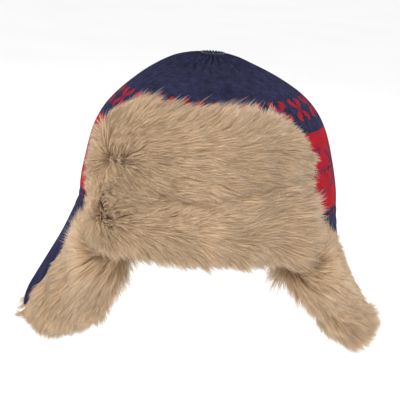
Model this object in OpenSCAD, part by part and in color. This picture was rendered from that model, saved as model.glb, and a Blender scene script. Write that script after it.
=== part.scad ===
// Knitted trapper hat with a turned-up faux-fur front flap and two fur-lined ear flaps.
// Millimetres. Z is up, the wearer looks along -Y, and the origin is the centre of the head opening.

/* [Crown] */
// Half of the crown's width at the hem, outside
crown_half_width = 103; // [95:1:115]
// Half of the crown's depth from front to back at the hem, outside
crown_half_depth = 113; // [103:1:122]
// Height of the crown above the hem
crown_height = 119; // [112:1:140]
// Thickness of the knitted fabric
knit_thickness = 3; // [2.4:0.1:3.6]
// Thickness of the crown's wadding
crown_wadding_thickness = 5.6; // [4:0.1:6]
// Thickness of the crown's lining
lining_thickness = 3; // [2:0.1:3.4]
// Radius of the ring of thread that draws the top together
gather_radius = 9; // [6:0.5:14]

/* [Front flap] */
// Half of the front flap's width
front_half_width = 71.5; // [60:0.5:76]
// Height of the front flap's top edge above the hem
front_top = 84; // [72:1:90]
// Gap between the crown and the front flap
front_gap = 2; // [1.5:0.1:3]
// Thickness of the front flap's backing cloth
backing_thickness = 1.6; // [1:0.1:2]
// Thickness of the front flap's stiffening layer
interlining_thickness = 2.4; // [1.5:0.1:3]
// Depth of the front flap's fur at its middle
front_fur_depth = 17; // [12:0.5:22]
// How far the fur spreads past the backing at the sides and the top
front_fur_overhang = 7; // [4:0.5:10]
// How far the fur hangs below the hem
front_fur_hang = 13; // [8:0.5:14]

/* [Ear flaps] */
// Direction of an ear flap's front edge, in degrees round from the front
ear_front_angle = 44; // [42:1:56]
// Direction of an ear flap's rear edge, in degrees round from the front
ear_rear_angle = 100; // [90:1:110]
// Length of the knitted part of an ear flap
ear_length = 96; // [80:1:105]
// Half of an ear flap's width near its tip
ear_tip_half_width = 35; // [24:1:38]
// How far the left ear flap's tip stands outward
left_spread = 22; // [8:1:34]
// How far the right ear flap's tip stands outward
right_spread = 13; // [10:1:34]
// How far the left ear flap's tip hangs towards the back
left_back = 0; // [0:1:40]
// How far the right ear flap's tip hangs towards the back
right_back = 45; // [0:1:48]
// Turn of the left ear flap's fur side towards the front at its tip, in degrees
left_twist = -40; // [-45:1:60]
// Turn of the right ear flap's fur side towards the front at its tip, in degrees
right_twist = 45; // [-45:1:60]
// Thickness of an ear flap's wadding
ear_wadding_thickness = 4; // [3:0.1:5]
// Depth of an ear flap's fur at its middle
ear_fur_depth = 17; // [14:0.5:20]
// How far the fur spreads past an ear flap's rear edge at the tip
ear_fur_overhang = 9; // [5:0.5:10]
// How far the fur reaches past an ear flap's tip
ear_fur_tip = 13; // [8:0.5:16]
// Depth of the fur that is turned round an ear flap's front edge onto the outside
ear_roll_depth = 9; // [6:0.5:11]
// Where that fur ends at the flap's tip, from -1 at the front edge to 1 at the rear, on the left
left_wrap = 0.85; // [-0.2:0.05:0.9]
// Where that fur ends at the flap's tip, from -1 at the front edge to 1 at the rear, on the right
right_wrap = 0.4; // [-0.2:0.05:0.9]

/* [Hidden] */

// Free space between two layers of one body
layer_gap = 0.2;
// Depth of the crown's wall, and the height of the hem that is turned in under it
crown_wall = knit_thickness + crown_wadding_thickness + lining_thickness + 2 * layer_gap;
hem_turn = 2.5;
hem_top = hem_turn + layer_gap;
// Sides and rows of the crown's faceted layers
crown_sides = 48;
crown_rows = 13;
top_ring_angle = 84;
// Radii of the sewing threads
gather_thread_r = 0.7;
seam_thread_r = 0.6;
tube_sides = 8;
// Height of the lining seam above the hem
lining_seam_z = 9;
// Size and place of the care label, which lies against the lining at the back
label_size = [26, 0.8, 22];
label_z = 24;
label_gap = 1.8;
// Rows and columns of a flap's faceted layers
flap_columns = 14;
flap_rows = 12;
// Corner rounding of the front flap, as a share of its height
front_round_start = 0.62;
front_round_end = 1.06;
// Lowest line of the front flap's backing, as an elevation in degrees
front_low = 0.5;
// Space that keeps the fur off the layer behind it
fur_gap = 0.8;
// An ear flap's root lies this far below the hem, and its hinge line lies between
root_drop = 1.2;
hinge_drop = 0.8;
// Fall of the root line for each millimetre that it lies inside the hinge line
root_fall = 0.22;
// Share of an ear flap's length where its tip starts to round
ear_round_start = 0.78;
ear_round_end = 1.14;
// Narrowest share of a flap's width, where the rounding ends
narrow_share = 0.3;
// Inset of the ear flap's wadding and seam from the edge of the knit
ear_wadding_inset = 3.2;
ear_seam_inset = 1;
// Fur at a flap's edges, as a share of its middle depth
edge_share = 0.5;
// Fur starts this share of the length below an ear flap's root inside, and outside at the back and
// at the front edge
ear_fur_start = 0.035;
ear_roll_start = [0.08, 0.15];
// The turned fur ends here at the root
root_wrap = -0.25;
// Columns of an ear flap's fur over the outside and over the inside
outer_columns = 5;
inner_columns = 12;

// The ear flap's middle direction, hinge point, rearward line and outward line
ear_mid_angle = (ear_front_angle + ear_rear_angle) / 2;
ear_half_angle = (ear_rear_angle - ear_front_angle) / 2;
hinge_point = [
    crown_half_width * sin(ear_mid_angle), -crown_half_depth * cos(ear_mid_angle), -hinge_drop
];
rearward = unit([crown_half_width * cos(ear_mid_angle), crown_half_depth * sin(ear_mid_angle), 0]);
outward = [rearward[1], -rearward[0], 0];
small_step = 0.01;

function unit(v) = v / norm(v);
function mix(a, b, share) = a * (1 - share) + b * share;

// ---------- Crown ----------

// One ring of the dome that lies "deep" inside the crown's surface, at an elevation angle
function dome_point(turn, elevation, deep) = [
    (crown_half_width - deep) * cos(elevation) * sin(turn),
    -(crown_half_depth - deep) * cos(elevation) * cos(turn),
    (crown_height - deep) * sin(elevation)
];
function dome_ring(elevation, deep) =
    [for (i = [0:crown_sides - 1]) dome_point(i * 360 / crown_sides, elevation, deep)];
function low_angle(z, deep) = asin(z / (crown_height - deep));

// Rings of one dome surface from the top down to height z
function dome_rings(z, deep) = [
    for (k = [0:crown_rows])
        dome_ring(mix(top_ring_angle, low_angle(z, deep), k / crown_rows), deep)
];
function reversed(list) = [for (k = [len(list) - 1:-1:0]) list[k]];

// A closed wall from a list of rings, with a pole above the first ring and below the last
module ring_wall(rings, first_pole, last_pole) {
    n = crown_sides;
    count = len(rings);
    points = concat([for (r = rings) each r], [first_pole, last_pole]);
    first = n * count;
    last = first + 1;
    sides = [
        for (k = [0:count - 2], i = [0:n - 1])
            let (a = k * n + i, b = k * n + (i + 1) % n)
                each [[a, b, b + n], [a, b + n, a + n]]
    ];
    top_fan = [for (i = [0:n - 1]) [first, (i + 1) % n, i]];
    low_fan = [for (i = [0:n - 1]) [last, (count - 1) * n + i, (count - 1) * n + (i + 1) % n]];
    polyhedron(points = points, faces = concat(sides, top_fan, low_fan), convexity = 4);
}

// A dome layer between two depths, open below, whose lower edge lies at height z
module dome_layer(outer_deep, inner_deep, z) {
    ring_wall(
        concat(dome_rings(z, outer_deep), reversed(dome_rings(z, inner_deep))),
        [0, 0, crown_height - outer_deep],
        [0, 0, crown_height - inner_deep]
    );
}

// The knitted crown, with its lower edge turned in under the wadding and the lining
module crown_shell() {
    hem_rings = [
        dome_ring(0, crown_wall),
        dome_ring(low_angle(hem_turn, crown_wall), crown_wall)
    ];
    color("midnightblue")
    ring_wall(
        concat(dome_rings(0, 0), hem_rings, reversed(dome_rings(hem_turn, knit_thickness))),
        [0, 0, crown_height],
        [0, 0, crown_height - knit_thickness]
    );
}

module crown_wadding() {
    outer_deep = knit_thickness + layer_gap;
    color("ivory") dome_layer(outer_deep, outer_deep + crown_wadding_thickness, hem_top);
}

module crown_lining() {
    color("dimgray") dome_layer(crown_wall - lining_thickness, crown_wall, hem_top);
}

// The ring of thread that draws the knitted tube together at the top
module crown_gather_thread() {
    drop = crown_height * (1 - sqrt(1 - pow(gather_radius / crown_half_width, 2)));
    color("navy")
    translate([0, 0, crown_height - drop + gather_thread_r + 2 * layer_gap])
        rotate_extrude($fn = 64)
            translate([gather_radius, 0])
                circle(r = gather_thread_r, $fn = 24);
}

// The thread that joins the lining to the hem, along the inside of the crown
module lining_seam_thread() {
    deep = crown_wall + seam_thread_r + 2 * layer_gap;
    elevation = low_angle(lining_seam_z, deep);
    path = [for (i = [0:crown_sides - 1]) dome_point(i * 360 / crown_sides, elevation, deep)];
    color("black") closed_thread(path);
}

// The folded blank label, sewn to the lining at the back
module care_label() {
    deep = crown_wall + label_gap + label_size[1];
    place = dome_point(180, low_angle(label_z, deep), deep);
    lean = atan(pow((crown_half_depth - deep) / (crown_height - deep), 2) * place[2] / place[1]);
    color("white")
    translate(place)
        rotate([lean, 0, 0])
            cube(label_size, center = true);
}

// ---------- Threads ----------

// Eight-sided ring of points round a path point
function thread_ring(at, along) =
    let (side = unit(cross(along, [0, 0, 1])), up = cross(side, along))
    [
        for (j = [0:tube_sides - 1])
            at + seam_thread_r * (cos(j * 360 / tube_sides) * side + sin(j * 360 / tube_sides) * up)
    ];

function tube_faces(n, from, to) = [
    for (j = [0:n - 1])
        each [
            [from + j, to + (j + 1) % n, to + j],
            [from + j, from + (j + 1) % n, to + (j + 1) % n]
        ]
];

// A thread round a closed path
module closed_thread(path) {
    n = tube_sides;
    count = len(path);
    rings = [
        for (k = [0:count - 1])
            thread_ring(path[k], unit(path[(k + 1) % count] - path[(k + count - 1) % count]))
    ];
    polyhedron(
        points = [for (r = rings) each r],
        faces = [for (k = [0:count - 1]) each tube_faces(n, k * n, ((k + 1) % count) * n)]
    );
}

// A thread along an open path, closed at both ends
module open_thread(path) {
    n = tube_sides;
    last = len(path) - 1;
    rings = [
        for (k = [0:last])
            thread_ring(path[k], unit(path[min(k + 1, last)] - path[max(k - 1, 0)]))
    ];
    ends = [
        [for (j = [n - 1:-1:0]) j],
        [for (j = [0:n - 1]) last * n + j]
    ];
    polyhedron(
        points = [for (r = rings) each r],
        faces = concat([for (k = [0:last - 1]) each tube_faces(n, k * n, (k + 1) * n)], ends)
    );
}

// ---------- Flaps ----------

// Width of a flap at a share of its length: full, then rounded to a narrow end
function rounded(share, start, end) =
    share <= start ? 1 : max(narrow_share, sqrt(max(0, 1 - pow((share - start) / (end - start), 2))));

// Depth of fur, from its edges to its middle
function fur_depth(depth, u, v) =
    depth * mix(edge_share, 1, (1 - pow(abs(u), 3)) * (1 - pow(abs(2 * v - 1), 4)));

// A closed sheet between two surfaces. u runs -1 to 1 across, v runs 0 to 1 along
module sheet(face, back, columns = flap_columns, rows = flap_rows) {
    n = columns + 1;
    m = rows + 1;
    half = n * m;
    function spot(place_on) = [
        for (k = [0:rows], i = [0:columns]) place_on(2 * i / columns - 1, k / rows)
    ];
    face_tris = [
        for (k = [0:rows - 1], i = [0:columns - 1])
            let (a = k * n + i)
                each [[a, a + n, a + 1], [a + 1, a + n, a + n + 1]]
    ];
    back_tris = [for (t = face_tris) [t[2] + half, t[1] + half, t[0] + half]];
    rim = concat(
        [for (i = [0:columns - 1]) i],
        [for (k = [0:rows - 1]) k * n + columns],
        [for (i = [columns:-1:1]) rows * n + i],
        [for (k = [rows:-1:1]) k * n]
    );
    count = len(rim);
    rim_tris = [
        for (j = [0:count - 1])
            let (a = rim[j], b = rim[(j + 1) % count])
                each [[a, b, b + half], [a, b + half, a + half]]
    ];
    polyhedron(
        points = concat(spot(face), spot(back)),
        faces = concat(face_tris, back_tris, rim_tris),
        convexity = 4
    );
}

// ---------- Front flap ----------

front_high = asin(front_top / crown_height);
fur_low = -asin(front_fur_hang / crown_height);
fur_high = asin((front_top + front_fur_overhang) / crown_height);

// A point of the front flap, "off" the crown's surface, x across and elevation up
function front_point(x, elevation, off) =
    let (turn = asin(x / ((crown_half_width + off) * cos(elevation))))
    dome_point(turn, elevation, -off);

module front_layer(off_back, off_face, color_name) {
    function layer_at(off) = function(u, v)
        front_point(
            u * front_half_width * rounded(v, front_round_start, front_round_end),
            mix(front_low, front_high, v),
            off
        );
    color(color_name) sheet(layer_at(off_face), layer_at(off_back));
}

module front_flap_backing() {
    front_layer(front_gap, front_gap + backing_thickness, "midnightblue");
}

interlining_off = front_gap + backing_thickness + layer_gap;

module front_flap_interlining() {
    front_layer(interlining_off, interlining_off + interlining_thickness, "whitesmoke");
}

fur_off = interlining_off + interlining_thickness + fur_gap;

module front_flap_fur() {
    half = front_half_width + front_fur_overhang;
    function layer_at(is_face) = function(u, v)
        front_point(
            u * half * rounded(v, front_round_start, front_round_end),
            mix(fur_low, fur_high, v),
            fur_off + (is_face ? fur_depth(front_fur_depth, u, v) : 0)
        );
    color("tan") sheet(layer_at(true), layer_at(false), 18, 14);
}

// The line of stitches along the fold, between the crown and the backing
module front_flap_seam_thread() {
    off = front_gap - seam_thread_r - layer_gap;
    reach = front_half_width - 4;
    path = [for (x = [-reach:reach / 12:reach]) front_point(x, 2 * front_low, off)];
    color("navy") open_thread(path);
}

// ---------- Ear flaps, drawn on the +X side ----------

// A point on the line where an ear flap meets the hem, u = -1 at the front and 1 at the rear
function root_point(u) =
    let (
        turn = ear_mid_angle + u * ear_half_angle,
        at = [crown_half_width * sin(turn), -crown_half_depth * cos(turn), 0],
        inside = (hinge_point - at) * outward
    )
    [at[0], at[1], -root_drop - root_fall * max(0, inside)];

// An ear flap's hang: how far its tip stands outward and to the back, its turn, and where its
// turned fur ends
left_hang = [left_spread, left_back, left_twist, left_wrap];
right_hang = [right_spread, right_back, right_twist, right_wrap];

// A point on the straight line across an ear flap's tip
function tip_point(u, hang) =
    let (drop = sqrt(pow(ear_length, 2) - pow(hang[0], 2) - pow(hang[1], 2)))
    hinge_point + outward * hang[0] + rearward * hang[1] - [0, 0, drop]
    + u * ear_tip_half_width * (rearward * cos(hang[2]) - outward * sin(hang[2]));

// The knit's outer surface: straight lines from the root line to the tip line
function ear_surface(u, v, hang) = mix(root_point(u), tip_point(u, hang), v);

// The direction into the flap, towards the cheek
function ear_inward(u, v, hang) =
    unit(cross(
        ear_surface(u + small_step, v, hang) - ear_surface(u - small_step, v, hang),
        ear_surface(u, v + small_step, hang) - ear_surface(u, v - small_step, hang)
    ));

function ear_point(u, v, deep, hang) = ear_surface(u, v, hang) + deep * ear_inward(u, v, hang);

// Share of the half width that an inset takes off
function inset_share(inset) = 1 - inset / ear_tip_half_width;

module ear_layer(deep_face, deep_back, inset, hang) {
    top = inset / ear_length;
    end = 1 - inset / ear_length;
    function layer_at(deep) = function(u, v)
        ear_point(
            u * inset_share(inset) * rounded(v, ear_round_start, ear_round_end),
            mix(top, end, v), deep, hang
        );
    sheet(layer_at(deep_back), layer_at(deep_face));
}

module ear_shell(hang) {
    color("midnightblue") ear_layer(0, knit_thickness, 0, hang);
}

ear_wadding_deep = knit_thickness + layer_gap;

module ear_wadding(hang) {
    color("ivory")
    ear_layer(ear_wadding_deep, ear_wadding_deep + ear_wadding_thickness, ear_wadding_inset, hang);
}

ear_fur_deep = ear_wadding_deep + ear_wadding_thickness + fur_gap;

// Across the fur: over the outside, round the front edge, then over the inside. Each entry is
// [u beside the knit, depth there, u at the fur's face, depth there, share where the fur starts]
function fur_section(v, tip_wrap) =
    let (
        wrap = mix(root_wrap, tip_wrap, min(1, v)),
        rear = 1 + ear_fur_overhang / (ear_tip_half_width + ear_fur_overhang) * min(1, v) * min(1, v),
        roll = -fur_gap - ear_roll_depth
    )
    concat(
        [
            for (k = [0:outer_columns])
                let (u = mix(wrap, -1, k / outer_columns))
                    [
                        u, -fur_gap, k == outer_columns ? -1.12 : u,
                        k == 0 ? roll + ear_roll_depth * edge_share : roll,
                        mix(ear_roll_start[1], ear_roll_start[0], min(1, max(0, (u + 0.9) / 0.4)))
                    ]
        ],
        [
            [-1.1, -fur_gap, -1.28, -ear_roll_depth * edge_share, ear_roll_start[1]],
            [-1.1, ear_fur_deep, -1.34, ear_fur_deep, ear_roll_start[1]]
        ],
        [
            for (k = [0:inner_columns])
                let (u = mix(-1, rear, k / inner_columns))
                    [
                        u, ear_fur_deep, k == 0 ? -1.2 : u,
                        ear_fur_deep + fur_depth(ear_fur_depth, max(0, 0.9 * u), v),
                        mix(ear_roll_start[1], ear_fur_start, min(1, k / 2))
                    ]
        ]
    );

module ear_fur(hang) {
    end = 1 + ear_fur_tip / ear_length;
    columns = inner_columns + outer_columns + 3;
    function layer_at(is_face) = function(t, v)
        let (
            part = fur_section(v, hang[3])[round((t + 1) / 2 * columns)],
            u = is_face ? part[2] : part[0],
            deep = is_face ? part[3] : part[1]
        )
        ear_point(
            u * rounded(v, ear_round_start, ear_round_end), mix(part[4], end, v), deep, hang
        );
    color("tan") sheet(layer_at(true), layer_at(false), columns, 14);
}

// The seam that joins the knit to the fur, down one side, round the tip and up the other
module ear_seam_thread(hang) {
    deep = ear_wadding_deep + ear_wadding_thickness / 2;
    inset = ear_seam_inset;
    steps = 12;
    end = 1 - inset / ear_length;
    function side(u, v) =
        ear_point(
            u * inset_share(inset) * rounded(v, ear_round_start, ear_round_end),
            mix(2 * inset / ear_length, end, v), deep, hang
        );
    path = concat(
        [for (k = [0:steps]) side(-1, k / steps)],
        [for (k = [1:3]) side(-1 + k / 2, 1)],
        [for (k = [steps:-1:0]) side(1, k / steps)]
    );
    color("navy") open_thread(path);
}

module left_side() {
    mirror([1, 0, 0]) children();
}

module left_flap_shell() {
    left_side() ear_shell(left_hang);
}

module left_flap_wadding() {
    left_side() ear_wadding(left_hang);
}

module left_flap_fur() {
    left_side() ear_fur(left_hang);
}

module left_flap_seam_thread() {
    left_side() ear_seam_thread(left_hang);
}

module right_flap_shell() {
    ear_shell(right_hang);
}

module right_flap_wadding() {
    ear_wadding(right_hang);
}

module right_flap_fur() {
    ear_fur(right_hang);
}

module right_flap_seam_thread() {
    ear_seam_thread(right_hang);
}

crown_shell();
crown_wadding();
crown_lining();
crown_gather_thread();
lining_seam_thread();
care_label();
front_flap_backing();
front_flap_interlining();
front_flap_fur();
front_flap_seam_thread();
left_flap_shell();
left_flap_wadding();
left_flap_fur();
left_flap_seam_thread();
right_flap_shell();
right_flap_wadding();
right_flap_fur();
right_flap_seam_thread();
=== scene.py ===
import math

import bpy
import numpy as np
from mathutils import Matrix, Vector
from mathutils.kdtree import KDTree


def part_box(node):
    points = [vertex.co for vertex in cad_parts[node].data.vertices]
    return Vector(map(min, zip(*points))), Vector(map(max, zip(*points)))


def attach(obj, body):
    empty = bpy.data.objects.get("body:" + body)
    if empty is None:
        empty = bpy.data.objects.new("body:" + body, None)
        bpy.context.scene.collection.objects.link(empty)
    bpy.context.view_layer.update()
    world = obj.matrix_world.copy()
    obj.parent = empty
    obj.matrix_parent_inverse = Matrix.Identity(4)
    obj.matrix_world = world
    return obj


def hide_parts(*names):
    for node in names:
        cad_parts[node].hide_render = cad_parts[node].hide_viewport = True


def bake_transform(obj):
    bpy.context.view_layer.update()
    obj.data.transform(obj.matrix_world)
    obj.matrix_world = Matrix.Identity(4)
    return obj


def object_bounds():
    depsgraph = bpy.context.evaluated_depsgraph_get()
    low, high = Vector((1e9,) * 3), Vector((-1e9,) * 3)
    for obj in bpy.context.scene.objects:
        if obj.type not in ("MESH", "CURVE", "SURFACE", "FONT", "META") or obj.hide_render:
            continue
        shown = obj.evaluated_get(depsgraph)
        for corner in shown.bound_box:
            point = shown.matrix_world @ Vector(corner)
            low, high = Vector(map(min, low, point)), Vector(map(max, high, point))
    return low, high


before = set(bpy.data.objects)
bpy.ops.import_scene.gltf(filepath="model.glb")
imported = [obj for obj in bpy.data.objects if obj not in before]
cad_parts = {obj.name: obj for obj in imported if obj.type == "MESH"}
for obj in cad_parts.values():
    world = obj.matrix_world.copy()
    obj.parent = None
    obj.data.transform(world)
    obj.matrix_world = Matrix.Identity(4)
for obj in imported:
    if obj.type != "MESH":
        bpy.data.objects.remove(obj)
cad_low, cad_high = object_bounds()

MM = 0.001

# ---------- Sizes, in millimetres, worked out from the frame ----------

shell_low, shell_high = (np.array(corner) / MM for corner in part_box("crown_shell"))
HALF_WIDTH = (shell_high[0] - shell_low[0]) / 2
HALF_DEPTH = (shell_high[1] - shell_low[1]) / 2
HEIGHT = shell_high[2]

KNIT = 3.0
WALL = 12.0
LINING = 3.0

backing_low, backing_high = (np.array(corner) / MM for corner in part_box("front_flap_backing"))
FRONT_HALF = (backing_high[0] - backing_low[0]) / 2
FRONT_TOP = 84.0
FRONT_GAP = 2.0
BACKING = 1.6
FRONT_FUR_OFF = 7.0
FRONT_OVERHANG = 7.0
FRONT_HANG = 13.0

EAR_ANGLES = (44.0, 100.0)
EAR_LENGTH = 96.0
EAR_TIP_HALF = 35.0
EAR_WADDING = 4.0
EAR_FUR_DEEP = 8.0
EAR_TIP_HANG = 13.0
ROOT_DROP = 1.2
ROOT_FALL = 0.22
# Side, how far the tip stands outward and to the back, how far its fur side turns to the front,
# and where the fur that is turned round the front edge ends, at the root and at the tip
EARS = {
    "left": {"side": -1, "spread": 22.0, "back": 0.0, "twist": -40.0, "wrap": (-0.60, 0.70)},
    "right": {"side": 1, "spread": 13.0, "back": 45.0, "twist": 45.0, "wrap": (-0.25, 0.4)},
}
# How far the soft crown leans to its left at the top, and how much its shoulders stand out
SLUMP = 4.5
SHOULDER = 0.06


# ---------- Small helpers ----------

def unit(v):
    return v / np.maximum(np.linalg.norm(v, axis=-1, keepdims=True), 1e-12)


def smooth(x, low, high):
    """0 below low, 1 above high, and a smooth step between."""
    t = np.clip((np.asarray(x, float) - low) / (high - low), 0, 1)
    return t * t * (3 - 2 * t)


class Waves:
    """Smooth repeatable noise, about -1 to 1, from sines in random directions."""

    def __init__(self, seed, wavelength, count=14):
        rng = np.random.default_rng(seed)
        direction = unit(rng.normal(size=(count, 3)))
        size = 2 * math.pi / (wavelength * rng.uniform(0.6, 1.7, (count, 1)))
        self.wave = direction * size
        self.phase = rng.uniform(0, 2 * math.pi, count)

    def __call__(self, points):
        total = np.sin(points @ self.wave.T + self.phase).sum(-1)
        return total / math.sqrt(len(self.phase) / 2) * 0.6


def make_mesh(name, points, quads=(), tris=(), smooth_shaded=True):
    """A mesh object from points in millimetres."""
    quads = np.asarray(quads, np.int32).reshape(-1, 4)
    tris = np.asarray(tris, np.int32).reshape(-1, 3)
    mesh = bpy.data.meshes.new(name)
    mesh.vertices.add(len(points))
    mesh.vertices.foreach_set("co", (np.asarray(points, np.float32) * MM).ravel())
    loops = np.concatenate([quads.ravel(), tris.ravel()])
    mesh.loops.add(len(loops))
    mesh.loops.foreach_set("vertex_index", loops)
    sizes = np.concatenate([np.full(len(quads), 4), np.full(len(tris), 3)])
    mesh.polygons.add(len(sizes))
    starts = np.concatenate([[0], np.cumsum(sizes)[:-1]]).astype(np.int32)
    mesh.polygons.foreach_set("loop_start", starts)
    mesh.update(calc_edges=True)
    mesh.polygons.foreach_set("use_smooth", np.full(len(sizes), smooth_shaded))
    obj = bpy.data.objects.new(name, mesh)
    bpy.context.scene.collection.objects.link(obj)
    return obj


def add_values(obj, name, values, domain="POINT"):
    layer = obj.data.attributes.new(name, "FLOAT", domain)
    layer.data.foreach_set("value", np.asarray(values, np.float32).ravel())


def sheet_faces(rows, columns, wrap=False):
    """Quads of a grid of rows x columns points; wrap joins the last column to the first."""
    across = np.arange(columns if wrap else columns - 1)
    k, i = np.meshgrid(np.arange(rows - 1), across, indexing="ij")
    after = (i + 1) % columns
    return np.stack([k * columns + i, k * columns + after, (k + 1) * columns + after,
                     (k + 1) * columns + i], -1).reshape(-1, 4)


def end_caps(rows, columns):
    """Triangles that close both ends of a wrapped grid, each round one extra point after the grid."""
    i = np.arange(columns)
    after = (i + 1) % columns
    first, last = rows * columns, (rows - 1) * columns
    return np.concatenate([
        np.stack([np.full(columns, first), after, i], -1),
        np.stack([np.full(columns, first + 1), last + i, last + after], -1)])


def closed_sheet(name, face, back):
    """A closed piece between two grids of points, each rows x columns x 3."""
    rows, columns = face.shape[:2]
    half = rows * columns
    quads = sheet_faces(rows, columns)
    back_quads = quads[:, ::-1] + half
    rim = np.concatenate([
        np.arange(columns - 1),
        np.arange(rows - 1) * columns + columns - 1,
        (rows - 1) * columns + np.arange(columns - 1, 0, -1),
        np.arange(rows - 1, 0, -1) * columns,
    ])
    after = np.roll(rim, -1)
    rim_quads = np.stack([after, rim, rim + half, after + half], -1)
    points = np.concatenate([face.reshape(-1, 3), back.reshape(-1, 3)])
    return make_mesh(name, points, np.concatenate([quads, back_quads, rim_quads]))


# ---------- Surfaces ----------

def dome(turn, rise, off=0.0):
    """A point "off" the crown's surface; turn runs round from the front, rise up from the hem."""
    turn, rise = np.radians(turn), np.radians(rise)
    level = np.cos(rise) * (1 + SHOULDER * np.sin(2 * rise) ** 2)
    return np.stack([
        (HALF_WIDTH + off) * level * np.sin(turn) - SLUMP * np.sin(rise) ** 2,
        -(HALF_DEPTH + off) * level * np.cos(turn),
        (HEIGHT + off) * np.sin(rise) + 0 * turn,
    ], -1)


def rise_at(z, off=0.0):
    return np.degrees(np.arcsin(np.clip(z / (HEIGHT + off), -1, 1)))


def front_point(x, rise, off):
    """A point of the front flap, x across and rise up, "off" the crown's surface."""
    reach = (HALF_WIDTH + off) * np.cos(np.radians(rise))
    return dome(np.degrees(np.arcsin(np.clip(x / reach, -1, 1))), rise, off)


def rounded(share, start, end, narrow=0.3):
    """Share of a flap's full width at a share of its length, with a rounded end."""
    t = np.clip((share - start) / (end - start), 0, 1)
    return np.where(share <= start, 1.0, np.maximum(narrow, np.sqrt(np.maximum(0, 1 - t * t))))


FRONT_HIGH = rise_at(FRONT_TOP)


class Ear:
    """The surface of one ear flap. u runs -1 at the front edge to 1 at the rear, v from the root down."""

    def __init__(self, side, spread, back, twist, wrap):
        self.side, self.wrap = side, wrap
        middle = math.radians(sum(EAR_ANGLES) / 2)
        self.hinge = np.array([HALF_WIDTH * math.sin(middle), -HALF_DEPTH * math.cos(middle), -0.8])
        self.rearward = unit(np.array(
            [HALF_WIDTH * math.cos(middle), HALF_DEPTH * math.sin(middle), 0.0]))
        self.outward = np.array([self.rearward[1], -self.rearward[0], 0.0])
        turn = math.radians(twist)
        self.across = self.rearward * math.cos(turn) - self.outward * math.sin(turn)
        drop = math.sqrt(EAR_LENGTH ** 2 - spread ** 2 - back ** 2)
        self.tip = self.hinge + self.outward * spread + self.rearward * back - np.array([0, 0, drop])

    def root(self, u):
        turn = np.radians(np.mean(EAR_ANGLES) + u * (EAR_ANGLES[1] - EAR_ANGLES[0]) / 2)
        at = np.stack([HALF_WIDTH * np.sin(turn), -HALF_DEPTH * np.cos(turn), 0 * turn], -1)
        inside = np.maximum(0, (self.hinge - at) @ self.outward)
        at[..., 2] = -ROOT_DROP - ROOT_FALL * inside
        return at

    def plain(self, u, v):
        v = np.asarray(v, float)[..., None]
        end = self.tip + np.asarray(u, float)[..., None] * EAR_TIP_HALF * self.across
        return self.root(u) * (1 - v) + end * v

    def inward(self, u, v):
        step = 0.01
        along_u = self.plain(u + step, v) - self.plain(u - step, v)
        along_v = self.plain(u, v + step) - self.plain(u, v - step)
        return unit(np.cross(along_u, along_v))

    def point(self, u, v, deep):
        at = self.plain(u, v) + np.asarray(deep, float)[..., None] * self.inward(u, v)
        return at * np.array([self.side, 1, 1])

    def outline(self, v):
        return rounded(v, 0.78, 1.14)

    def closed(self, name, inner, outer):
        """A closed sheet of this flap, whichever side it hangs on; inner faces the cheek."""
        if self.side < 0:
            inner, outer = inner[:, ::-1], outer[:, ::-1]
        return closed_sheet(name, inner, outer)

    def ordered(self, values):
        """Values of a grid in the order that closed() keeps its points."""
        values = values[:, ::-1] if self.side < 0 else values
        return np.concatenate([values.reshape(values.shape[0] * values.shape[1], -1)] * 2)


def grid(columns, rows):
    """u from -1 to 1 across and v from 0 to 1 along, as two arrays of rows x columns."""
    v, u = np.meshgrid(np.linspace(0, 1, rows), np.linspace(-1, 1, columns), indexing="ij")
    return u, v


# ---------- Materials ----------

def new_material(name, rough=0.7, sheen=0.0, specular=0.3):
    material = bpy.data.materials.new(name)
    material.use_nodes = True
    shader = material.node_tree.nodes["Principled BSDF"]
    shader.inputs["Roughness"].default_value = rough
    shader.inputs["Sheen Weight"].default_value = sheen
    shader.inputs["Sheen Roughness"].default_value = 0.5
    shader.inputs["Specular IOR Level"].default_value = specular
    return material, material.node_tree, shader


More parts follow.
